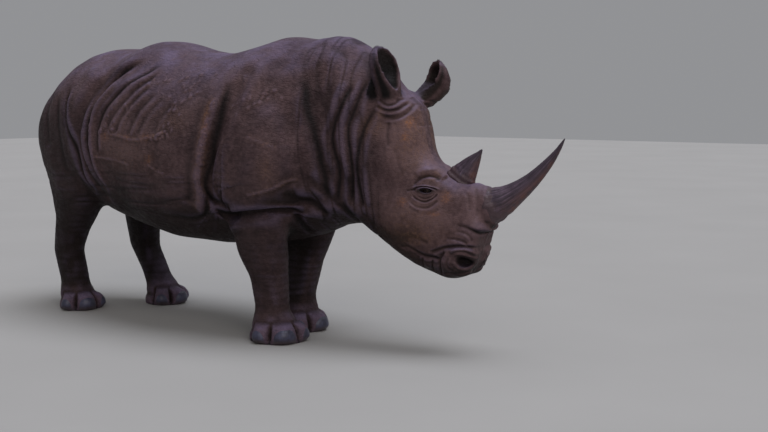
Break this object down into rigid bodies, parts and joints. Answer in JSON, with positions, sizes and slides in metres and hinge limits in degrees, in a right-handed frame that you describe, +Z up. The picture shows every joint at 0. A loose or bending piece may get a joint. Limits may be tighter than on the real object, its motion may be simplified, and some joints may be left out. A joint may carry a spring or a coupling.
{
  "type": "white rhinoceros",
  "caption": "Still, life-size adult white rhinoceros standing square with its broad head lowered and turned a little to its left; long curved front horn, short rear horn, heavy folded hide.",
  "frame": {"origin": "bottom centre of the whole model's box, on the floor between the feet", "axes": "+X is the way the animal faces, +Y its left side, +Z up"},
  "size_m": [3.8392, 1.1208, 1.7489],
  "materials": {
    "hide": "dry, finely cracked, dusty",
    "horn": "fibrous, worn smooth towards the tip",
    "eye": "wet",
    "toenail": "worn, dusty",
    "tail_hair": "coarse hair"
  },
  "bodies": {
    "root": {"barrel": "hide", "chest": "hide", "ear_left": "hide", "ear_right": "hide", "eye_left": "eye", "eye_right": "eye", "front_leg_left_foot": "hide", "front_leg_left_lower": "hide", "front_leg_left_nail_1": "toenail", "front_leg_left_nail_2": "toenail", "front_leg_left_nail_3": "toenail", "front_leg_left_upper": "hide", "front_leg_right_foot": "hide", "front_leg_right_lower": "hide", "front_leg_right_nail_1": "toenail", "front_leg_right_nail_2": "toenail", "front_leg_right_nail_3": "toenail", "front_leg_right_upper": "hide", "head": "hide", "hind_leg_left_foot": "hide", "hind_leg_left_lower": "hide", "hind_leg_left_nail_1": "toenail", "hind_leg_left_nail_2": "toenail", "hind_leg_left_nail_3": "toenail", "hind_leg_left_upper": "hide", "hind_leg_right_foot": "hide", "hind_leg_right_lower": "hide", "hind_leg_right_nail_1": "toenail", "hind_leg_right_nail_2": "toenail", "hind_leg_right_nail_3": "toenail", "hind_leg_right_upper": "hide", "horn_front": "horn", "horn_rear": "horn", "lower_jaw": "hide", "neck": "hide", "rump": "hide", "tail": "hide", "tail_brush": "tail_hair"}
  },
  "joints": []
}
